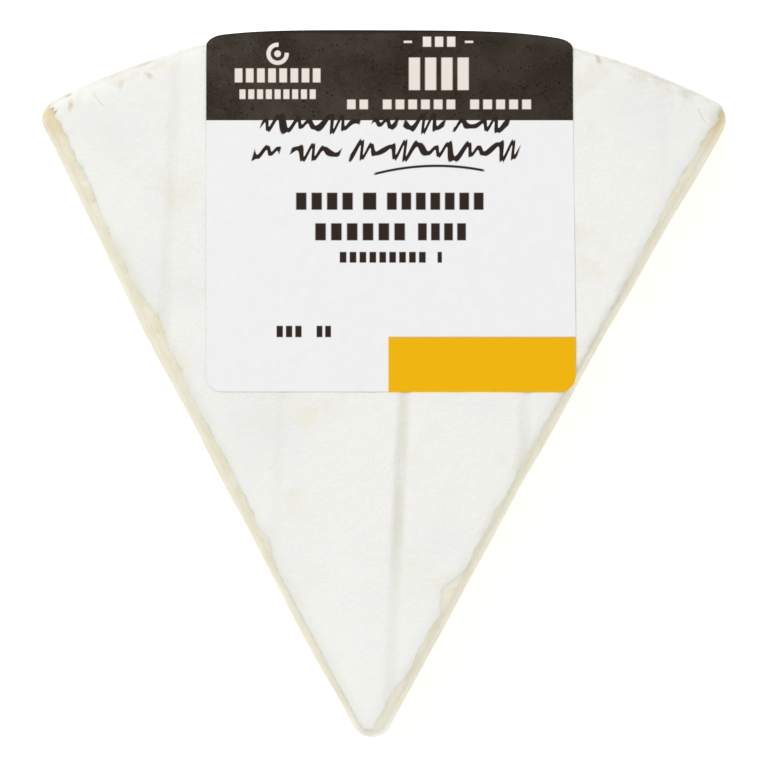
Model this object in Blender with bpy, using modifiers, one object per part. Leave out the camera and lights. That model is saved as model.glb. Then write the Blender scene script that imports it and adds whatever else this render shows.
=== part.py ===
# A wedge cut from a wheel of brie, lying on its lower rind, with a paper label stuck on its upper rind.
# Metres, +Z up. The tip points to -Y, and the wheel's own curved side is at +Y.
# Outlines are worked out about the wheel's centre, and an empty puts that centre in its place.

import math

import bmesh
import bpy
from mathutils import Vector

MM = 0.001

# The wheel that the wedge comes from, pressed a little flat behind the label
WHEEL_RADIUS = 115.0 * MM
WHEEL_HEIGHT = 28.0 * MM
SIDE_SHOULDER = 3.0 * MM
SIDE_BOW = 0.6 * MM
FLAT_SPOT_DEPTH = 1.6 * MM
FLAT_SPOT_HALF_WIDTH = 29.0 * MM

# The two knife cuts, which cross a little beyond the wheel's centre. In plan the left one
# curves outwards and the right one inwards. Down the height, both bulge as soft paste does.
LEFT_CUT_DEG = 27.3
RIGHT_CUT_DEG = 29.2
LEFT_CURVE = 0.6 * MM
RIGHT_CURVE = -0.5 * MM
CUTS_CROSS = Vector((-1.9 * MM, -1.95 * MM))
CUT_SHOULDER = 0.6 * MM
CUT_BULGE = 0.9 * MM
TIP_RADIUS = 3.3 * MM
CORNER_RADIUS = 2.4 * MM
LEAST_RADIUS = 0.4 * MM

# The label, whose back edge hangs over the flat spot
LABEL_WIDTH = 58.0 * MM
LABEL_LENGTH = 57.1 * MM
LABEL_CORNER = 2.5 * MM
LABEL_THICKNESS = 0.2 * MM
LABEL_GAP = 0.3 * MM
LABEL_CENTRE_X = 1.4 * MM
LABEL_OVERHANG = 0.2 * MM
LABEL_STEEPEST_DEG = 30.0
LABEL_BACK_Y = WHEEL_RADIUS - FLAT_SPOT_DEPTH + LABEL_OVERHANG

# How finely each stretch is divided
TIP_STEPS = 9
CORNER_STEPS = 6
CUT_STEPS = 10
RIM_STEPS = 36
SHOULDER_STEPS = 8
SIDE_STEPS = 6
BEND_STEPS = 5


def clear_scene():
    for obj in list(bpy.data.objects):
        bpy.data.objects.remove(obj)


def material(name, colour, roughness):
    made = bpy.data.materials.new(name)
    made.use_nodes = True
    shader = made.node_tree.nodes["Principled BSDF"]
    shader.inputs["Base Color"].default_value = (*colour, 1.0)
    shader.inputs["Roughness"].default_value = roughness
    shader.inputs["Metallic"].default_value = 0.0
    return made


def arc(centre, radius, start, end, steps):
    """Points on a circle from one angle to another, both included."""
    points = []
    for step in range(steps + 1):
        angle = start + (end - start) * step / steps
        points.append(centre + radius * Vector((math.cos(angle), math.sin(angle))))
    return points


def angle_of(vector):
    return math.atan2(vector.y, vector.x)


def curved_run(start, end, inward, height, steps):
    """The points between two ends, on a shallow curve that stands out from their chord by its height."""
    points = []
    for step in range(1, steps):
        share = step / steps
        points.append(start.lerp(end, share) - inward * height * math.sin(math.pi * share))
    return points


def side_inset(z, bow, shoulder):
    """How far a side lies inside its widest outline at height z, from its bow and its round shoulder."""
    from_middle = abs(2 * z / WHEEL_HEIGHT - 1)
    inset = bow * from_middle**2
    from_face = min(z, WHEEL_HEIGHT - z)
    if from_face < shoulder:
        inset += shoulder - math.sqrt(shoulder**2 - (shoulder - from_face) ** 2)
    return inset


def corner_centre(crossing, along, inward, rim_radius, radius):
    """The centre of the round corner that touches both a cut and the rim."""
    start = crossing + inward * radius
    reach = rim_radius - radius
    along_start = start.dot(along)
    return start + along * (math.sqrt(along_start**2 + reach**2 - start.length_squared) - along_start)


def flattened(point):
    """A point of the rim, moved in where the rim is pressed flat."""
    share = abs(point.x) / FLAT_SPOT_HALF_WIDTH
    if share >= 1:
        return point
    return point - Vector((0, FLAT_SPOT_DEPTH * math.cos(math.pi / 2 * share) ** 2))


def outline(z):
    """The wedge's outline at height z, anticlockwise from the left end of its tip."""
    cut_inset = side_inset(z, CUT_BULGE, CUT_SHOULDER)
    rim_radius = WHEEL_RADIUS - side_inset(z, SIDE_BOW, SIDE_SHOULDER)
    tip_radius = max(TIP_RADIUS - cut_inset, LEAST_RADIUS)
    corner_radius = max(CORNER_RADIUS - cut_inset, LEAST_RADIUS)

    left = math.radians(LEFT_CUT_DEG)
    right = math.radians(RIGHT_CUT_DEG)
    to_middle = math.sin((left + right) / 2)
    middle = Vector((math.sin((right - left) / 2), math.cos((right - left) / 2)))
    left_inward = Vector((math.cos(left), math.sin(left)))
    right_inward = Vector((-math.cos(right), math.sin(right)))

    crossing = CUTS_CROSS + middle * cut_inset / to_middle
    tip = crossing + middle * tip_radius / to_middle
    left_along = Vector((-math.sin(left), math.cos(left)))
    right_along = Vector((math.sin(right), math.cos(right)))
    left_corner = corner_centre(crossing, left_along, left_inward, rim_radius, corner_radius)
    right_corner = corner_centre(crossing, right_along, right_inward, rim_radius, corner_radius)

    tip_arc = arc(tip, tip_radius, math.pi + left, 2 * math.pi - right, TIP_STEPS)
    right_arc = arc(right_corner, corner_radius, -right, angle_of(right_corner), CORNER_STEPS)
    rim_arc = arc(Vector((0, 0)), rim_radius, angle_of(right_corner), angle_of(left_corner), RIM_STEPS)
    left_arc = arc(left_corner, corner_radius, angle_of(left_corner), math.pi + left, CORNER_STEPS)
    right_cut = curved_run(tip_arc[-1], right_arc[0], right_inward, RIGHT_CURVE, CUT_STEPS)
    left_cut = curved_run(left_arc[-1], tip_arc[0], left_inward, LEFT_CURVE, CUT_STEPS)
    rim = [flattened(point) for point in rim_arc[1:-1]]
    return tip_arc + right_cut + right_arc + rim + left_arc + left_cut


def levels():
    """The heights of the outlines: close together round the shoulders, even between them."""
    lower = []
    for step in range(SHOULDER_STEPS + 1):
        lower.append(SIDE_SHOULDER * (1 - math.cos(math.pi / 2 * step / SHOULDER_STEPS)))
    straight = WHEEL_HEIGHT - 2 * SIDE_SHOULDER
    between = [SIDE_SHOULDER + straight * step / SIDE_STEPS for step in range(1, SIDE_STEPS)]
    upper = [WHEEL_HEIGHT - z for z in reversed(lower)]
    return lower + between + upper


def wedge_mesh():
    """The cheese, lofted through its outlines, whose cuts and rim bulge by different amounts."""
    mesh = bpy.data.meshes.new("brie_wedge")
    bm = bmesh.new()
    rings = [[bm.verts.new((point.x, point.y, z)) for point in outline(z)] for z in levels()]
    for lower, upper in zip(rings, rings[1:]):
        for i, start in enumerate(lower):
            after = (i + 1) % len(lower)
            bm.faces.new((start, lower[after], upper[after], upper[i]))
    bm.faces.new(reversed(rings[0]))
    bm.faces.new(rings[-1])
    bmesh.ops.recalc_face_normals(bm, faces=bm.faces)
    bm.to_mesh(mesh)
    bm.free()
    return mesh


def rounded_rectangle(width, length, radius):
    points = []
    for turn, (side_x, side_y) in enumerate(((1, 1), (-1, 1), (-1, -1), (1, -1))):
        centre = Vector((side_x * (width / 2 - radius), side_y * (length / 2 - radius)))
        points += arc(centre, radius, turn * math.pi / 2, (turn + 1) * math.pi / 2, CORNER_STEPS)
    return points


def bend_start():
    """How far in from its back edge the label starts to bend, which is where the flat spot's shoulder starts."""
    return SIDE_SHOULDER + SIDE_BOW + LABEL_OVERHANG


def label_drop(from_back):
    """How far the label has bent down at a distance in from its back edge. It follows the
    shoulder until it is at its steepest, and runs straight from there."""
    steepest = math.radians(LABEL_STEEPEST_DEG)
    past_start = bend_start() - from_back
    bend = SIDE_SHOULDER * math.sin(steepest)
    if past_start <= 0:
        return 0.0
    if past_start < bend:
        return SIDE_SHOULDER - math.sqrt(SIDE_SHOULDER**2 - past_start**2)
    return SIDE_SHOULDER * (1 - math.cos(steepest)) + (past_start - bend) * math.tan(steepest)


def label_mesh():
    """The label's lower face: a rounded rectangle about its own centre, divided across and bent."""
    mesh = bpy.data.meshes.new("label")
    bm = bmesh.new()
    corners = rounded_rectangle(LABEL_WIDTH, LABEL_LENGTH, LABEL_CORNER)
    bm.faces.new([bm.verts.new((point.x, point.y, 0)) for point in corners])
    for step in range(BEND_STEPS + 1):
        past_start = SIDE_SHOULDER * math.sin(math.radians(LABEL_STEEPEST_DEG) * step / BEND_STEPS)
        line = (0, LABEL_LENGTH / 2 - bend_start() + past_start, 0)
        geometry = bm.verts[:] + bm.edges[:] + bm.faces[:]
        bmesh.ops.bisect_plane(bm, geom=geometry, plane_co=line, plane_no=(0, 1, 0))
    for vert in bm.verts:
        vert.co.z = -label_drop(LABEL_LENGTH / 2 - vert.co.y)
    bm.to_mesh(mesh)
    bm.free()
    return mesh


def wheel_centre():
    """Where the wheel's centre lies, so that the origin is under the middle of the whole part."""
    widest = outline(WHEEL_HEIGHT / 2)
    x_middle = (min(point.x for point in widest) + max(point.x for point in widest)) / 2
    y_middle = (min(point.y for point in widest) + LABEL_BACK_Y) / 2
    return Vector((-x_middle, -y_middle, 0))


def add(name, mesh, finish, parent, location, collection):
    obj = bpy.data.objects.new(name, mesh)
    obj.data.materials.append(finish)
    obj.parent = parent
    obj.location = location
    collection.objects.link(obj)
    return obj


def build():
    clear_scene()
    collection = bpy.data.collections.new("brie_wedge_parts")
    bpy.context.scene.collection.children.link(collection)
    centre = bpy.data.objects.new("wheel_centre", None)
    centre.location = wheel_centre()
    collection.objects.link(centre)

    rind = material("white_rind", (0.80, 0.80, 0.75), 0.85)
    cheese = add("brie_wedge", wedge_mesh(), rind, centre, (0, 0, 0), collection)
    cheese.data.shade_smooth()
    cheese.data.set_sharp_from_angle(angle=math.radians(35))

    paper = material("label_paper", (0.86, 0.86, 0.86), 0.5)
    label_centre = (LABEL_CENTRE_X, LABEL_BACK_Y - LABEL_LENGTH / 2, WHEEL_HEIGHT + LABEL_GAP)
    label = add("label", label_mesh(), paper, centre, label_centre, collection)
    sheet = label.modifiers.new("paper_thickness", "SOLIDIFY")
    sheet.thickness = LABEL_THICKNESS
    sheet.offset = 1.0


build()
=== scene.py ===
import math

import bpy
import numpy as np
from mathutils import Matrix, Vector, noise


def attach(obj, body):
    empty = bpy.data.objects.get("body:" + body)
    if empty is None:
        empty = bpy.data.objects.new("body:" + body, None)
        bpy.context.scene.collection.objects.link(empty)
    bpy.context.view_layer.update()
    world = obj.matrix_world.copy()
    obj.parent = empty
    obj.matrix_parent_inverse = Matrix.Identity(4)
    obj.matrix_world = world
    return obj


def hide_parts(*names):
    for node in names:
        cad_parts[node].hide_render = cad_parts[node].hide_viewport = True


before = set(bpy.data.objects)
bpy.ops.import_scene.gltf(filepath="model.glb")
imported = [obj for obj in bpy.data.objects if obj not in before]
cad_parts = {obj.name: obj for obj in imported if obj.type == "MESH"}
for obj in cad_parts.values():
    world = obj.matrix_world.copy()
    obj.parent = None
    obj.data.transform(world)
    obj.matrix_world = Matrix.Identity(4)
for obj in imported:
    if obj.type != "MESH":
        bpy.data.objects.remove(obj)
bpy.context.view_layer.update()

# A brie wedge with a shop's label, seen from straight above. Lengths are in metres.
mm = 0.001


# Blender helpers

def selectOnly(obj):
    bpy.ops.object.select_all(action="DESELECT")
    obj.select_set(True)
    bpy.context.view_layer.objects.active = obj


def applyModifier(obj, kind, **settings):
    selectOnly(obj)
    modifier = obj.modifiers.new(kind.lower(), kind)
    for name, setting in settings.items():
        setattr(modifier, name, setting)
    bpy.ops.object.modifier_apply(modifier=modifier.name)


def readPoints(mesh):
    points = np.empty(len(mesh.vertices) * 3)
    mesh.vertices.foreach_get("co", points)
    return points.reshape(-1, 3)


def writePoints(mesh, points):
    mesh.vertices.foreach_set("co", points.ravel())
    mesh.update()


def readNormals(mesh):
    normals = np.empty(len(mesh.vertices) * 3)
    mesh.vertices.foreach_get("normal", normals)
    return normals.reshape(-1, 3)


def roughly(points, scale, seed):  # smooth noise from -1 to 1 at each point, scale is the size of a bump
    shift = Vector((seed * 17.3, seed * 5.9, seed * 11.1))
    return np.array([noise.noise(Vector(point) / scale + shift) for point in points])


def bump(distance, radius):  # 1 in the middle, falling smoothly to 0 at the radius
    share = np.clip(np.abs(distance) / radius, 0, 1)
    return (1 - share**2) ** 2


# Numbers in a material

class Value:
    def __init__(self, tree, socket):
        self.tree = tree
        self.socket = socket

    def node(self, kind, settings, inputs, output=0):
        made = self.tree.nodes.new(kind)
        for name, setting in settings.items():
            setattr(made, name, setting)
        for name, given in inputs.items():
            if isinstance(given, Value):
                self.tree.links.new(given.socket, made.inputs[name])
            else:
                made.inputs[name].default_value = given
        return Value(self.tree, made.outputs[output])

    def maths(self, operation, first, second=0.0):
        return self.node("ShaderNodeMath", {"operation": operation}, {0: first, 1: second})

    def __add__(self, other):
        return self.maths("ADD", self, other)

    def __radd__(self, other):
        return self.maths("ADD", other, self)

    def __sub__(self, other):
        return self.maths("SUBTRACT", self, other)

    def __rsub__(self, other):
        return self.maths("SUBTRACT", other, self)

    def __mul__(self, other):
        return self.maths("MULTIPLY", self, other)

    def __rmul__(self, other):
        return self.maths("MULTIPLY", other, self)

    def __truediv__(self, other):
        return self.maths("DIVIDE", self, other)

    def least(self, other):
        return self.maths("MINIMUM", self, other)

    def most(self, other):
        return self.maths("MAXIMUM", self, other)

    def size(self):
        return self.maths("ABSOLUTE", self)

    def wave(self):
        return self.maths("SINE", self)

    def part(self):
        return self.maths("FRACT", self)

    def root(self):
        return self.maths("SQRT", self)

    def rise(self, low, high):  # 0 below low, 1 above high, smooth between
        settings = {"interpolation_type": "SMOOTHSTEP"}
        inputs = {"Value": self, "From Min": low, "From Max": high, "To Min": 0.0, "To Max": 1.0}
        return self.node("ShaderNodeMapRange", settings, inputs)

    def cloud(self, scale, detail=3.0, roughness=0.5):  # noise, called on a vector
        inputs = {"Vector": self, "Scale": scale, "Detail": detail, "Roughness": roughness}
        return self.node("ShaderNodeTexNoise", {}, inputs)

    def cells(self, scale):
        return self.node("ShaderNodeTexVoronoi", {}, {"Vector": self, "Scale": scale})

    def blend(self, below, above):  # this value is how much of the colour above is seen
        settings = {"data_type": "RGBA", "blend_type": "MIX"}
        return self.node("ShaderNodeMix", settings, {"Factor": self, 6: below, 7: above}, 2)

    def relief(self, distance):
        return self.node("ShaderNodeBump", {}, {"Height": self, "Strength": 1.0, "Distance": distance})


exposure = {"reflected": 0.92}  # reflectance of a surface that renders as full white


def colour(red, green, blue):  # the reflectance that renders as these levels out of 255
    def linear(level):
        share = level / 255
        return share / 12.92 if share <= 0.04045 else ((share + 0.055) / 1.055) ** 2.4
    return tuple(linear(level) * exposure["reflected"] for level in (red, green, blue)) + (1.0,)


def colours(levels):  # the same for a dictionary of named colours
    return {name: colour(*rgb) for name, rgb in levels.items()}


def newMaterial(name, settings):
    material = bpy.data.materials.new(name)
    material.use_nodes = True
    tree = material.node_tree
    shader = tree.nodes["Principled BSDF"]
    for socket, setting in settings.items():
        shader.inputs[socket].default_value = setting
    place = Value(tree, tree.nodes.new("ShaderNodeTexCoord").outputs["Object"])
    return material, tree, shader, place


def axes(place):  # the three coordinates of a vector
    split = place.tree.nodes.new("ShaderNodeSeparateXYZ")
    place.tree.links.new(place.socket, split.inputs[0])
    return [Value(place.tree, output) for output in split.outputs]


# The cheese

cheese = {
    "centre": (-0.2 * mm, -57.67 * mm),  # the wheel's centre, about which the rim is round
    "radius": 115.0 * mm,
    "height": 28.0 * mm,
    "cross": (-1.9 * mm, -1.95 * mm),  # where the cuts cross, from the wheel's centre
    "leftCut": math.radians(27.3),
    "rightCut": math.radians(29.2),
    "leftCurve": 0.6 * mm,
    "rightCurve": -0.5 * mm,
    "cutLength": 116.0 * mm,
    "voxel": 0.68 * mm,
}

rindLook = {
    "thickness": 1.0 * mm,
    "under": 0.35 * mm,  # how far the paste lies below the rind's outer face
    # places along each cut from the tip, and the width of bare paste there, in mm
    "leftStrip": ((0, 1.0), (33, 1.3), (38, 2.3), (70, 2.4), (78, 3.0), (84, 1.8), (96, 2.3), (104, 3.0),
                  (110, 2.9), (116, 2.2)),
    "rightStrip": ((0, 1.4), (4, 2.3), (10, 2.5), (16, 1.7), (26, 1.8), (29.5, 3.4), (33, 1.5), (60, 1.7),
                   (72, 0.9), (84, 0.85), (92, 1.8), (108, 2.3), (116, 1.4)),
    "leastStrip": 0.75 * mm,
    "leftSeed": 3,
    "rightSeed": 8,
    "raggedLong": 0.42 * mm,
    "raggedLongSize": 3.2 * mm,
    "raggedShort": 0.3 * mm,
    "raggedShortSize": 1.1 * mm,
    "flatEnds": 1.5 * mm,  # the cuts bulge and are rounded, so the flat faces end this far inside them
    "lipDrop": 0.33 * mm,
    "lipLength": 1.5 * mm,
    # each groove's place across the wedge, in mm, and its strength
    "grooves": ((-35.0, 0.6), (-15.9, 0.25), (3.3, 1.5), (22.4, 1.15), (42.0, 0.2)),
    "grooveLean": 0.05,
    "grooveHalf": 1.1 * mm,
    "grooveDepth": 0.4 * mm,
    "grooveWander": 0.5 * mm,
    "swell": 0.10 * mm,
    "settle": 0.08 * mm,
    "grain": 0.045 * mm,
    "mostProud": 0.02 * mm,
    "rib": 0.04 * mm,
    "ribStep": 0.55 * mm,
}

rindColours = {
    "white": (245, 244, 239),
    "cool": (239, 240, 236),
    "warm": (241, 238, 227),
    "farCornerShade": (234, 233, 228),
    # the rind's tip colour is painted light
    "tip": (249, 249, 244),
    "groove": (226, 224, 213),
    "leftFringe": (234, 229, 211),
    "rightFringe": (229, 225, 208),
    "cornerFringe": (218, 197, 155),
    "rubbed": (222, 212, 190),
    "rimEdge": (216, 214, 198),
    "crack": (172, 166, 142),
}

rindMarks = {  # x, y, half length and half width in mm, turn in degrees, how dark, colour
    "brown spot": (-49.2, 43.8, 0.75, 0.45, 80, 0.5, (200, 158, 98)),
    "grey mark": (-49.8, 45.6, 0.8, 0.5, 20, 0.55, (160, 160, 140)),
    "left smudge": (-41.3, 47.0, 0.8, 0.5, 60, 0.28, (185, 178, 150)),
    "second smudge": (-42.9, 48.9, 1.6, 0.5, 22, 0.5, (168, 166, 142)),
    "third smudge": (-36.9, 48.4, 0.8, 0.5, -40, 0.42, (178, 172, 146)),
    "rim smudge": (-37.7, 50.5, 1.3, 0.5, 20, 0.4, (178, 170, 140)),
    "nick": (33.6, 51.2, 0.9, 0.4, -65, 0.5, (170, 160, 130)),
    "pink patch": (43.0, 48.2, 1.8, 1.0, -25, 0.25, (205, 180, 168)),
    "right smudge": (47.3, 45.4, 1.4, 0.7, -35, 0.3, (190, 182, 152)),
}

rindCracks = {  # ends in mm
    "left crack": ((-45.7, 45.9), (-43.8, 43.5)),
    "right crack": ((49.2, 43.5), (50.7, 41.0)),
}

pasteLook = {
    "swell": 0.3 * mm,
    "swellSize": 14 * mm,
    "drag": 0.06 * mm,
    "dragSize": 1.1 * mm,
    "reach": 2.2 * mm,  # how far in from a cut its swell and holes fade out
    "fade": 5 * mm,  # how far from the flat faces the swell is full
    "eyes": 26,  # small round holes in the cut faces
    "eyeSeed": 4,
    "eyeAlong": (10, 106),  # from the tip, in mm
    "eyeHeight": (4, 24),
    "eyeRadius": (0.9, 1.9),
    "eyeFlatness": (1.0, 1.7),
    "eyeDepth": 0.55,  # as a share of the radius
}

pasteColours = {
    "cream": (232, 223, 196),
    "pale": (238, 232, 212),
    "ripe": (227, 217, 186),
    "chalk": (243, 238, 223),
    "strip": (239, 235, 218),
    "stain": (228, 221, 192),
    "dragged": (240, 238, 225),
    "backCorners": (220, 196, 146),
    "tip": (241, 239, 228),
}


def cutPlaces(points):
    # distance in from each cut and distance along it, for an array of points
    x = points[:, 0] - cheese["centre"][0] - cheese["cross"][0]
    y = points[:, 1] - cheese["centre"][1] - cheese["cross"][1]
    left, right = cheese["leftCut"], cheese["rightCut"]
    alongLeft = -x * math.sin(left) + y * math.cos(left)
    alongRight = x * math.sin(right) + y * math.cos(right)
    curveLeft = cheese["leftCurve"] * np.sin(math.pi * np.clip(alongLeft / cheese["cutLength"], 0, 1))
    curveRight = cheese["rightCurve"] * np.sin(math.pi * np.clip(alongRight / cheese["cutLength"], 0, 1))
    inLeft = x * math.cos(left) + y * math.sin(left) + curveLeft
    inRight = -x * math.cos(right) + y * math.sin(right) + curveRight
    return inLeft, alongLeft, inRight, alongRight


def wedgeCopy(name):  # the cheese's own form, in fine even faces
    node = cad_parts["brie_wedge"]
    obj = bpy.data.objects.new(name, node.data.copy())
    bpy.context.scene.collection.objects.link(obj)
    obj.data.materials.clear()
    selectOnly(obj)
    bpy.ops.object.mode_set(mode="EDIT")
    bpy.ops.mesh.select_all(action="SELECT")
    bpy.ops.mesh.remove_doubles(threshold=0.00001)
    bpy.ops.object.mode_set(mode="OBJECT")
    applyModifier(obj, "REMESH", mode="VOXEL", voxel_size=cheese["voxel"])
    applyModifier(obj, "SMOOTH", factor=0.5, iterations=2)
    return obj


def stripWidth(points, along, side):
    # how much paste shows outside the rind's torn edge
    places = rindLook[side + "Strip"]
    seed = rindLook[side + "Seed"]
    width = np.interp(along, [at * mm for at, _ in places], [wide * mm for _, wide in places])
    line = np.column_stack([along, points[:, 2] * 0.6, np.zeros(len(along))])
    width = width + rindLook["raggedLong"] * roughly(line, rindLook["raggedLongSize"], seed)
    width = width + rindLook["raggedShort"] * roughly(line, rindLook["raggedShortSize"], seed + 1)
    return np.maximum(width, rindLook["leastStrip"])


def gaps(points):
    # how far each point lies inside the rind's torn edges, and inside the cuts themselves
    inLeft, alongLeft, inRight, alongRight = cutPlaces(points)
    leftGap = inLeft - stripWidth(points, alongLeft, "left")
    rightGap = inRight - stripWidth(points, alongRight, "right")
    return leftGap, rightGap, inLeft, inRight


def makePaste():
    obj = wedgeCopy("paste")
    mesh = obj.data
    points = readPoints(mesh)
    normals = readNormals(mesh)
    inLeft, alongLeft, inRight, alongRight = cutPlaces(points)
    onCut = np.clip(1 - np.minimum(inLeft, inRight) / pasteLook["reach"], 0, 1)
    fromFace = np.minimum(points[:, 2], cheese["height"] - points[:, 2])
    side = onCut * (np.abs(normals[:, 2]) < 0.75)

    swell = pasteLook["swell"] * roughly(points, pasteLook["swellSize"], 1)
    swell = swell * np.clip(fromFace / pasteLook["fade"], 0, 1)
    drag = pasteLook["drag"] * roughly(points * np.array([0.12, 0.12, 1.0]), pasteLook["dragSize"], 2)
    move = side * (swell + drag)
    picks = np.random.default_rng(pasteLook["eyeSeed"])
    for eye in range(pasteLook["eyes"]):
        along = picks.uniform(*pasteLook["eyeAlong"]) * mm
        height = picks.uniform(*pasteLook["eyeHeight"]) * mm
        radius = picks.uniform(*pasteLook["eyeRadius"]) * mm
        onLeft = eye % 2 == 0
        where = alongLeft if onLeft else alongRight
        near = inLeft < inRight if onLeft else inRight < inLeft
        away = np.hypot(where - along, (points[:, 2] - height) * picks.uniform(*pasteLook["eyeFlatness"]))
        move = move - side * near * bump(away, radius) * radius * pasteLook["eyeDepth"]
    move = move + (1 - side) * rindRelief(points, normals)  # the paste follows the grooves above it
    points = points + normals * move[:, None]

    # the paste lies inside the rind on every side but the cuts
    middle = np.array([*cheese["centre"], cheese["height"] / 2])
    under = rindLook["under"]
    shrink = 1 - under / np.array([cheese["radius"], cheese["radius"], cheese["height"] / 2])
    writePoints(mesh, middle + (points - middle) * shrink)
    selectOnly(obj)
    bpy.ops.object.shade_smooth()
    mesh.materials.append(pasteMaterial())
    return obj


def makeRind():
    obj = wedgeCopy("rind")
    mesh = obj.data
    leftGap, rightGap, inLeft, inRight = gaps(readPoints(mesh))
    gone = (leftGap < 0) | (rightGap < 0)

    selectOnly(obj)  # what is gone is deleted, and the torn edge left selected
    bpy.ops.object.mode_set(mode="EDIT")
    bpy.ops.mesh.select_all(action="DESELECT")
    bpy.ops.object.mode_set(mode="OBJECT")
    mesh.vertices.foreach_set("select", gone)
    bpy.ops.object.mode_set(mode="EDIT")
    bpy.ops.mesh.delete(type="VERT")
    bpy.ops.mesh.select_all(action="DESELECT")
    bpy.ops.mesh.select_non_manifold(extend=False, use_wire=True, use_boundary=True)
    bpy.ops.object.mode_set(mode="OBJECT")

    points = readPoints(mesh)
    edge = np.empty(len(mesh.vertices), dtype=bool)
    mesh.vertices.foreach_get("select", edge)
    normals = readNormals(mesh)
    leftGap, rightGap, inLeft, inRight = gaps(points)
    relief = rindRelief(points, normals)

    # on the flat faces, the edge's steps are moved out to the line that it tears along
    reach = 1.2 * cheese["voxel"]
    flatEdge = edge & (np.abs(normals[:, 2]) > 0.85)
    nearLeft = flatEdge & (leftGap < rightGap)
    nearRight = flatEdge & ~nearLeft
    leftMove = nearLeft * np.clip(np.minimum(leftGap, inLeft - rindLook["flatEnds"]), 0, reach)
    rightMove = nearRight * np.clip(np.minimum(rightGap, inRight - rindLook["flatEnds"]), 0, reach)
    left, right = cheese["leftCut"], cheese["rightCut"]
    points[:, 0] += -leftMove * math.cos(left) + rightMove * math.cos(right)
    points[:, 1] += -leftMove * math.sin(left) - rightMove * math.sin(right)

    # the rind thins out towards its torn edge
    fromEdge = np.maximum(np.minimum(leftGap, rightGap), 0) * ~edge
    drop = rindLook["lipDrop"] * np.clip(1 - fromEdge / rindLook["lipLength"], 0, 1) ** 2
    writePoints(mesh, points + normals * (relief - drop)[:, None])

    applyModifier(obj, "SOLIDIFY", thickness=rindLook["thickness"], offset=-1.0, use_even_offset=False)
    selectOnly(obj)
    bpy.ops.object.shade_smooth()
    bpy.ops.object.shade_smooth_by_angle(angle=math.radians(50))
    mesh.materials.append(rindMaterial())
    return obj


def rindRelief(points, normals):
    # grooves from the draining mat on both flat faces, and the unevenness of the bloom
    x = points[:, 0] - rindLook["grooveLean"] * points[:, 1]
    x = x + rindLook["grooveWander"] * roughly(points, 22 * mm, 6)
    flat = np.clip((np.abs(normals[:, 2]) - 0.8) / 0.15, 0, 1)
    fade = rindLook["grooveDepth"] * flat * (0.62 + 0.38 * roughly(points, 20 * mm, 7))
    fade = fade * (0.45 + 0.55 * np.clip((points[:, 1] + 34 * mm) / (12 * mm), 0, 1))  # shallower at the tip
    groove = 0
    for place, strength in rindLook["grooves"]:
        groove = groove - strength * fade * bump(x - place * mm, rindLook["grooveHalf"])
    swell = rindLook["swell"] * roughly(points, 9 * mm, 9) - rindLook["settle"]
    grain = rindLook["grain"] * roughly(points, 2.1 * mm, 10)
    rib = rindLook["rib"] * np.sin(points[:, 2] / rindLook["ribStep"]) * (1 - flat)
    return np.minimum(groove + swell + grain, rindLook["mostProud"]) + rib


def cutDistances(x, y):
    # how far in from each cut, in the material, without the cuts' slight curve
    x = x - (cheese["centre"][0] + cheese["cross"][0])
    y = y - (cheese["centre"][1] + cheese["cross"][1])
    left, right = cheese["leftCut"], cheese["rightCut"]
    inLeft = x * math.cos(left) + y * math.sin(left)
    inRight = y * math.sin(right) - x * math.cos(right)
    return inLeft, inRight


def pasteMaterial():
    material, tree, shader, place = newMaterial("cream paste", {
        "Roughness": 0.42, "Subsurface Weight": 0.35, "Subsurface Scale": 0.004,
        "Subsurface Radius": (1.0, 0.75, 0.45), "Specular IOR Level": 0.4})
    x, y, z = axes(place)
    tones = colours(pasteColours)
    fromFace = z.least(cheese["height"] - z)

    # cream through and through, riper under the rind and chalky at the heart
    body = place.cloud(90.0, 4.0).rise(0.35, 0.68).blend(tones["cream"], tones["pale"])
    ripe = (fromFace + (place.cloud(70.0, 3.0) - 0.5) * 5.0 * mm).rise(7.0 * mm, 1.5 * mm)
    body = (ripe * 0.6).blend(body, tones["ripe"])
    fromHeart = (z - cheese["height"] / 2 + (place.cloud(45.0, 3.0) - 0.5) * 9.0 * mm).size()
    body = (fromHeart.rise(3.6 * mm, 0.6 * mm) * 0.3).blend(body, tones["chalk"])

    # what the torn rind leaves bare on the flat faces
    strip = fromFace.rise(0.9 * mm, 0.4 * mm)
    body = (strip * 0.85).blend(body, tones["strip"])
    stain = place.cloud(300.0, 4.0).rise(0.42, 0.62) * strip
    body = (stain * 0.7).blend(body, tones["stain"])

    # rind dragged over the cut's edge by the knife
    dragged = (fromFace + (place.cloud(300.0, 4.0, 0.6) - 0.5) * 1.3 * mm).rise(1.6 * mm, 1.1 * mm)
    dragged = dragged * fromFace.rise(0.5 * mm, 0.8 * mm)
    body = (dragged * 0.6).blend(body, tones["dragged"])

    backCorners = y.rise(34 * mm, 44 * mm) * place.cloud(160.0, 3.0).rise(0.2, 0.5)
    body = (backCorners * 0.85).blend(body, tones["backCorners"])
    body = (y.rise(-51 * mm, -54 * mm) * 0.7).blend(body, tones["tip"])
    tree.links.new(body.socket, shader.inputs["Base Color"])

    grain = place.cloud(1400.0, 4.0)
    pits = place.cells(420.0).rise(0.0, 0.28)
    fine = (grain * 0.5 + pits * 0.5).relief(0.00022)
    tree.links.new(fine.socket, shader.inputs["Normal"])
    wet = place.cloud(260.0, 3.0).rise(0.3, 0.7) * 0.2 + 0.34
    tree.links.new(wet.socket, shader.inputs["Roughness"])
    return material


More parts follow.
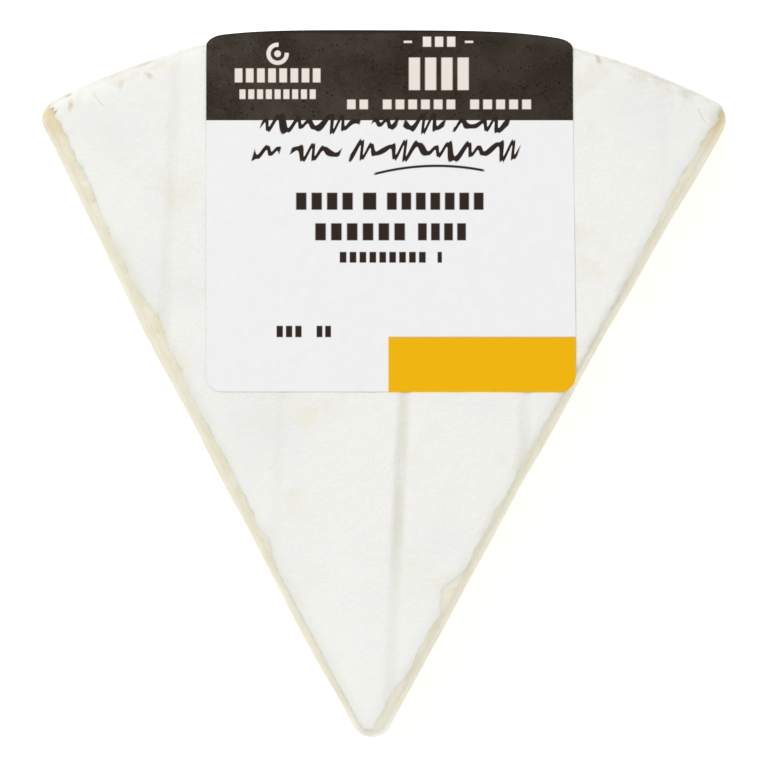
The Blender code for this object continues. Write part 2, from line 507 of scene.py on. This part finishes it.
def rindMaterial():
    material, tree, shader, place = newMaterial("white rind", {
        "Roughness": 0.85, "Sheen Weight": 0.12, "Sheen Roughness": 0.6, "Specular IOR Level": 0.25,
        "Subsurface Weight": 0.12, "Subsurface Scale": 0.002})
    x, y, z = axes(place)
    inLeft, inRight = cutDistances(x, y)
    tones = colours(rindColours)
    body = place.cloud(48.0, 5.0, 0.55).rise(0.42, 0.68).blend(tones["white"], tones["cool"])
    body = place.cloud(110.0, 4.0).rise(0.55, 0.75).blend(body, tones["warm"])
    farCornerShade = (x * 0.7 + y).rise(48 * mm, 78 * mm)  # painted shade: a little greyer towards the right corner
    body = (farCornerShade * 0.15).blend(body, tones["farCornerShade"])
    # painted light: the rind a little lighter towards the tip
    body = (y.rise(-12 * mm, -45 * mm) * 0.6).blend(body, tones["tip"])

    # grooves hold a little shade and a warmer tone, on the flat faces only
    lean = x - y * rindLook["grooveLean"]
    shade = place.cloud(60.0, 2.0).rise(0.2, 0.55) * (y.rise(-34 * mm, -22 * mm) * 0.6 + 0.4)
    shade = shade * z.rise(24.5 * mm, 27 * mm).most(z.rise(3.5 * mm, 1 * mm))
    for groovePlace, strength in rindLook["grooves"]:
        groove = (lean - groovePlace * mm).size().rise(1.5 * mm, 0.2 * mm) * shade
        body = (groove * strength * 0.55).blend(body, tones["groove"])

    # the paste stains the rind along the torn edges, and along the right edge the darker fringe is also
    # painted shade
    wobble = place.cloud(420.0, 4.0, 0.6) * 1.8 * mm + place.cloud(140.0, 2.0) * 2.2 * mm
    leftFringe = (inLeft + 2.0 * mm - wobble).rise(3.4 * mm, 0.9 * mm)
    rightFringe = (inRight + 2.0 * mm - wobble).rise(3.2 * mm, 0.8 * mm)
    leftShare = y.rise(-30 * mm, 15 * mm) * 0.4 + 0.3
    body = (leftFringe * leftShare).blend(body, tones["leftFringe"])
    body = (rightFringe * 0.7).blend(body, tones["rightFringe"])
    corner = y.rise(38 * mm, 46 * mm)
    body = (leftFringe.most(rightFringe) * corner * 0.8).blend(body, tones["cornerFringe"])

    # the rim's shoulder is rubbed, and marks lie along it
    fromX = x - cheese["centre"][0]
    fromY = y - cheese["centre"][1]
    fromCentre = (fromX * fromX + fromY * fromY).root()
    rubbed = fromCentre.rise(110.5 * mm, 113.5 * mm) * place.cloud(300.0, 4.0, 0.6).rise(0.45, 0.7)
    body = (rubbed * 0.4).blend(body, tones["rubbed"])
    rimEdge = fromCentre.rise(113.7 * mm, 114.6 * mm) * z.rise(24.5 * mm, 26.0 * mm)
    rimEdge = rimEdge * place.cloud(140.0, 3.0).rise(0.3, 0.6)
    body = (rimEdge * 0.5).blend(body, tones["rimEdge"])
    ragged = (place.cloud(1100.0, 5.0, 0.7) - 0.5) * 2.8
    onTop = z.rise(24.8 * mm, 26.3 * mm)
    for across, up, halfLong, halfWide, turn, dark, tone in rindMarks.values():
        turned = math.radians(turn)
        dx = x - across * mm
        dy = y - up * mm
        along = (dx * math.cos(turned) + dy * math.sin(turned)) / (halfLong * mm)
        off = (dy * math.cos(turned) - dx * math.sin(turned)) / (halfWide * mm)
        mark = ((along * along + off * off).root() + ragged).rise(1.4, 0.3) * dark
        body = (mark * onTop).blend(body, colour(*tone))

    # two fine cracks, each a little bowed, drawn only as thin lines of painted shade
    unsteady = (place.cloud(500.0, 3.0) - 0.5) * 0.9 * mm
    for (startX, startY), (endX, endY) in rindCracks.values():
        length = math.hypot(endX - startX, endY - startY)
        alongX = (endX - startX) / length
        alongY = (endY - startY) / length
        dx = x - startX * mm
        dy = y - startY * mm
        along = dx * alongX + dy * alongY
        bow = along * (length * mm - along) * (0.25 / (length * mm))
        off = (dy * alongX - dx * alongY + bow + unsteady).size()
        ends = along.rise(0.0, 0.4 * mm) * along.rise(length * mm, (length - 0.5) * mm)
        crack = off.rise(0.16 * mm, 0.04 * mm) * ends
        body = (crack * onTop * 0.3).blend(body, tones["crack"])
    tree.links.new(body.socket, shader.inputs["Base Color"])

    velvet = place.cloud(2600.0, 5.0, 0.65)
    crumbs = place.cloud(750.0, 4.0, 0.6)
    fine = (velvet * 0.35 + crumbs * 0.65).relief(0.0003)
    tree.links.new(fine.socket, shader.inputs["Normal"])
    return material


# The label

label = {
    "width": 58.0 * mm,
    "length": 57.1 * mm,
    "slack": 0.45 * mm,  # the length that the bend takes up
    "centreX": 1.1 * mm,
    "frontY": -1.2 * mm,
    "height": 28.09 * mm,
    "corner": 2.5 * mm,
    "thickness": 0.07 * mm,
    "step": 1.0 * mm,
    "shoulder": 3.4 * mm,  # where the bend starts, in from the rim
    "flatSpotDepth": 1.6 * mm,
    "flatSpotHalf": 29 * mm,
    "bendRadius": 3.2 * mm,
    "bendHalf": 28 * mm,
    "leftBend": math.radians(45),
    "rightBend": math.radians(62),
    "cornerBend": math.radians(14),
    "rightTuck": 0.45 * mm,  # how far the right edge leans in towards the back
    "tuckStart": 7 * mm,
    "tuckLength": 36 * mm,
    "ripple": 0.05 * mm,
    "rippleSize": 13 * mm,
}


def labelRest(points):
    # bends the flat label down over the shoulder of the rim, the right corner most
    x = points[:, 0] - cheese["centre"][0]
    y = points[:, 1] - cheese["centre"][1]
    flatSpot = np.cos(math.pi / 2 * np.clip(np.abs(x) / label["flatSpotHalf"], 0, 1)) ** 2
    rim = np.sqrt(cheese["radius"] ** 2 - x**2) - label["flatSpotDepth"] * flatSpot
    past = np.maximum(y - (rim - label["shoulder"]), 0)
    share = np.clip((x + label["bendHalf"]) / (2 * label["bendHalf"]), 0, 1)
    steepest = label["leftBend"] + (label["rightBend"] - label["leftBend"]) * share**3
    steepest = steepest + label["cornerBend"] * (1 - share) ** 6
    radius = label["bendRadius"]
    turned = np.minimum(past / radius, steepest)
    straight = np.maximum(past - radius * steepest, 0)
    rested = points.copy()
    rested[:, 1] += radius * np.sin(turned) + straight * np.cos(steepest) - past
    rested[:, 2] -= radius * (1 - np.cos(turned)) + straight * np.sin(steepest)
    rested[:, 2] += label["ripple"] * roughly(points, label["rippleSize"], 12) * (past <= 0)
    back = np.clip((points[:, 1] - label["tuckStart"]) / label["tuckLength"], 0, 1)
    rested[:, 0] -= label["rightTuck"] * back * share**3
    return rested


def makeLabel():
    length = label["length"] + label["slack"]
    step = label["step"]
    low = label["frontY"]
    left = label["centreX"] - label["width"] / 2
    middle = (label["centreX"], low + length / 2, label["height"])
    bpy.ops.object.select_all(action="DESELECT")
    bpy.ops.mesh.primitive_plane_add(size=1, location=middle)
    obj = bpy.context.object
    obj.name = "paperLabel"
    obj.scale = (label["width"], length, 1)
    bpy.ops.object.transform_apply(location=True, rotation=True, scale=True)
    bpy.ops.object.mode_set(mode="EDIT")
    bpy.ops.mesh.select_all(action="SELECT")
    bpy.ops.mesh.bevel(offset=label["corner"], segments=10, affect="VERTICES", profile=0.5)
    for row in range(1, int(length / step)):
        bpy.ops.mesh.select_all(action="SELECT")
        bpy.ops.mesh.bisect(plane_co=(0, low + row * step, 0), plane_no=(0, 1, 0))
    for column in range(1, int(label["width"] / (2 * step))):
        bpy.ops.mesh.select_all(action="SELECT")
        bpy.ops.mesh.bisect(plane_co=(left + column * 2 * step, 0, 0), plane_no=(1, 0, 0))
    bpy.ops.object.mode_set(mode="OBJECT")
    writePoints(obj.data, labelRest(readPoints(obj.data)))
    applyModifier(obj, "SOLIDIFY", thickness=label["thickness"], offset=-1.0)
    selectOnly(obj)
    bpy.ops.object.mode_set(mode="EDIT")
    bpy.ops.mesh.select_all(action="SELECT")
    bpy.ops.mesh.normals_make_consistent(inside=False)
    bpy.ops.object.mode_set(mode="OBJECT")
    bpy.ops.object.shade_smooth()
    bpy.ops.object.shade_smooth_by_angle(angle=math.radians(40))
    obj.data.materials.clear()
    obj.data.materials.append(labelMaterial())
    return obj


labelPrint = {  # mm right from the label's left edge and down from its back edge
    "downShift": 0.16,
    "headerDepth": 14.35,
    "panel": (28.6, 60.0, 48.3, 60.0),
    "wholeBar": 9.0,  # a bar of this pitch isn't cut into blocks
    "paleBars": {  # left, right, top, bottom, pitch of the blocks
        "underRing": (4.2, 18.2, 6.2, 8.4, 1.75),
        "underRingSmall": (5.0, 17.4, 9.5, 11.0, 1.45),
        "leftDash": (31.0, 32.3, 1.85, 2.2, 9.0),
        "topMiddle": (33.7, 39.4, 1.2, 2.8, 2.1),
        "rightDash": (40.6, 41.9, 1.85, 2.2, 9.0),
        "tall": (31.4, 41.6, 4.5, 9.6, 2.7),
        "lowLeft": (21.8, 25.7, 11.1, 12.6, 2.0),
        "lowMiddle": (27.4, 39.4, 11.1, 12.6, 2.0),
        "lowRight": (41.1, 51.3, 11.1, 12.6, 2.0),
    },
    "darkBars": {
        "upperLeft": (13.7, 23.4, 25.7, 28.4, 2.4),
        "upperMiddle": (24.6, 26.7, 25.7, 28.4, 9.0),
        "upperRight": (28.0, 43.9, 25.7, 28.4, 2.3),
        "middleLeft": (16.7, 31.6, 30.5, 33.2, 2.5),
        "middleRight": (32.9, 41.1, 30.5, 33.2, 2.1),
        "lowerLeft": (20.7, 34.7, 35.0, 36.7, 1.6),
        "lowerRight": (36.3, 37.0, 35.0, 36.7, 9.0),
        "bottomLeft": (10.8, 15.2, 46.6, 48.4, 1.6),
        "bottomRight": (17.1, 19.8, 46.6, 48.4, 1.5),
    },
    "penStrokes": {  # left, right, middle height, swing
        "first": (8.6, 24.1, 14.9, 1.25),
        "second": (26.0, 30.1, 14.7, 1.1),
        "third": (31.0, 37.5, 14.8, 1.3),
        "fourth": (39.0, 47.5, 15.0, 1.0),
        "fifth": (7.5, 11.6, 19.2, 1.2),
        "sixth": (13.2, 21.1, 19.4, 1.1),
        "seventh": (22.8, 49.1, 19.1, 1.35),
    },
    "ring": (11.2, 3.9, 1.1, 1.75),  # middle, inner and outer radius
    "sweep": (36.2, 21.5, 9.5, 1.2),  # top of the arc under the strokes, half its length, its drop
    "sweepEnds": (26.4, 43.6),
}

labelColours = {
    "paper": (241, 241, 241),
    "paperCloud": (239, 239, 239),
    "ink": (48, 38, 33),
    "slateDark": (45, 38, 29),
    "slateLight": (68, 61, 53),
    "slateGrain": (84, 76, 66),
    "slateRightShade": (45, 37, 31),
    "slateSpeck": (12, 9, 7),
    "slateEdge": (38, 33, 28),
    "panel": (240, 181, 6),
    "pale": (235, 227, 218),
}


def labelMaterial():
    material, tree, shader, place = newMaterial("printed paper", {
        "Roughness": 0.55, "Specular IOR Level": 0.05})
    tones = colours(labelColours)
    x, y, z = axes(place)
    across = (x - (label["centreX"] - label["width"] / 2)) / mm
    down = (label["frontY"] + label["length"] - y) / mm - labelPrint["downShift"]

    def between(value, low, high, soft=0.09):
        return value.rise(low - soft, low + soft) * value.rise(high + soft, high - soft)

    def bar(left, right, top, bottom, pitch):
        shape = between(across, left, right) * between(down, top, bottom)
        if pitch < labelPrint["wholeBar"]:
            count = max(1, round((right - left) / pitch))
            step = (right - left) / count
            block = ((across - left) / step).part()
            shape = shape * between(block, 0.16, 0.84, 0.05)
        return shape

    def penStroke(left, right, middle, swing):
        leaning = across + (down - middle) * 0.3
        beat = leaning * 2.6 + (leaning * 1.1 + left).wave() * 1.2
        height = ((leaning * 0.8 + left * 2).wave() * 0.3 + 0.6) * swing
        slope = (beat + math.pi / 2).wave() * height * 3.0
        off = (down - middle - beat.wave() * height).size() / (slope * slope + 1).root()
        return off.rise(0.42, 0.28) * between(leaning, left, right, 0.15)

    def allOf(shapes):
        together = shapes[0]
        for shape in shapes[1:]:
            together = together.most(shape)
        return together

    # white paper with a header like dark stone and a plain panel at the front right
    paper = place.cloud(700.0, 3.0).rise(0.3, 0.7).blend(tones["paper"], tones["paperCloud"])
    slate = place.cloud(150.0, 6.0, 0.65).rise(0.33, 0.7).blend(tones["slateDark"], tones["slateLight"])
    slate = (place.cloud(2600.0, 3.0).rise(0.45, 0.7) * 0.3).blend(slate, tones["slateGrain"])
    # painted shade: the slate header darker towards the right
    slate = (across.rise(0.0, 60.0) * 0.45).blend(slate, tones["slateRightShade"])
    speck = place.cells(1500.0).rise(0.3, 0.16) * place.cloud(500.0, 4.0).rise(0.45, 0.6)
    slate = (speck * 0.85).blend(slate, tones["slateSpeck"])
    slate = down.rise(0.9, 0.3).blend(slate, tones["slateEdge"])
    header = down.rise(labelPrint["headerDepth"] + 0.06, labelPrint["headerDepth"] - 0.06)
    body = header.blend(paper, slate)
    left, right, top, bottom = labelPrint["panel"]
    panel = between(across, left, right) * between(down, top, bottom)
    body = panel.blend(body, tones["panel"])

    # pale blocks, and a plain ring with a notch
    ringX, ringY, inner, outer = labelPrint["ring"]
    fromX = across - ringX
    fromY = down - ringY
    reach = (fromX * fromX + fromY * fromY).root()
    notch = fromX.rise(0.1, 0.2) * fromY.rise(-0.1, -0.2)
    ring = between(reach, inner, outer) * (1 - notch)
    dot = reach.rise(0.6, 0.45)
    pale = allOf([bar(*sizes) for sizes in labelPrint["paleBars"].values()] + [ring, dot])
    body = pale.blend(body, tones["pale"])

    # dark blocks, and pen strokes with an arc under them
    topX, topY, halfLength, fall = labelPrint["sweep"]
    sweep = (across - topX) / halfLength
    arc = (down - topY - sweep * sweep * fall).size().rise(0.28, 0.12)
    arc = arc * between(across, *labelPrint["sweepEnds"], 0.3)
    strokes = [penStroke(*sizes) for sizes in labelPrint["penStrokes"].values()]
    dark = allOf([bar(*sizes) for sizes in labelPrint["darkBars"].values()] + strokes + [arc])
    body = dark.blend(body, tones["ink"])
    tree.links.new(body.socket, shader.inputs["Base Color"])

    fibre = place.cloud(1800.0, 3.0).relief(0.00003)
    tree.links.new(fibre.socket, shader.inputs["Normal"])
    return material


# Making everything

paste = makePaste()
print("paste made", len(paste.data.polygons), "faces")
rind = makeRind()
print("rind made", len(rind.data.polygons), "faces")
paperLabel = makeLabel()
print("label made", len(paperLabel.data.polygons), "faces")

for piece, node, slot in ((paste, "brie_wedge", "white_rind"), (rind, "brie_wedge", "white_rind"),
                          (paperLabel, "label", "label_paper")):
    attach(piece, "root")
    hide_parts(node)


# Studio

studio = {
    "cameraHeight": 2.0,  # above the plane that the framing is set on
    "framedPlane": 0.020,
    "framedWidth": 0.12104,
    "sensor": 36.0,
    "overhead": {"place": (-0.5, 0.55, 1.3), "size": 1.0, "power": 14.1},
    "fill": {"place": (0.7, -0.5, 1.0), "size": 1.2, "power": 3.7},
    "ambient": 0.46,
    "floorSize": 8,
    "floorZ": -0.0002,
    "floorReflects": 0.93,
    "floorGlow": 0.40,
}


def makeFloor():
    bpy.ops.object.select_all(action="DESELECT")
    bpy.ops.mesh.primitive_plane_add(size=studio["floorSize"], location=(0, 0, studio["floorZ"]))
    floor = bpy.context.object
    floor.name = "floor"
    grey = studio["floorReflects"]
    material, tree, shader, place = newMaterial("pale floor", {
        "Roughness": 0.9, "Base Color": (grey, grey, grey, 1),
        "Emission Color": (1, 1, 1, 1), "Emission Strength": studio["floorGlow"]})
    floor.data.materials.append(material)


def makeLight(name):
    data = bpy.data.lights.new(name, "AREA")
    data.shape = "SQUARE"
    data.size = studio[name]["size"]
    data.energy = studio[name]["power"]
    light = bpy.data.objects.new(name, data)
    light.location = studio[name]["place"]
    light.rotation_euler = (-Vector(studio[name]["place"])).to_track_quat("-Z", "Y").to_euler()
    light.visible_camera = False
    bpy.context.scene.collection.objects.link(light)


def makeCamera():
    data = bpy.data.cameras.new("camera")
    data.sensor_width = studio["sensor"]
    data.lens = studio["sensor"] * studio["cameraHeight"] / studio["framedWidth"]
    camera = bpy.data.objects.new("camera", data)
    camera.location = (0, 0, studio["framedPlane"] + studio["cameraHeight"])
    bpy.context.scene.collection.objects.link(camera)
    bpy.context.scene.camera = camera


def makeWorld():
    world = bpy.data.worlds.new("studio")
    world.use_nodes = True
    background = world.node_tree.nodes["Background"]
    background.inputs["Color"].default_value = (1, 1, 1, 1)
    background.inputs["Strength"].default_value = studio["ambient"]
    bpy.context.scene.world = world


makeFloor()
makeLight("overhead")
makeLight("fill")
makeCamera()
makeWorld()
bpy.context.scene.view_settings.view_transform = "Standard"
print("studio ready")
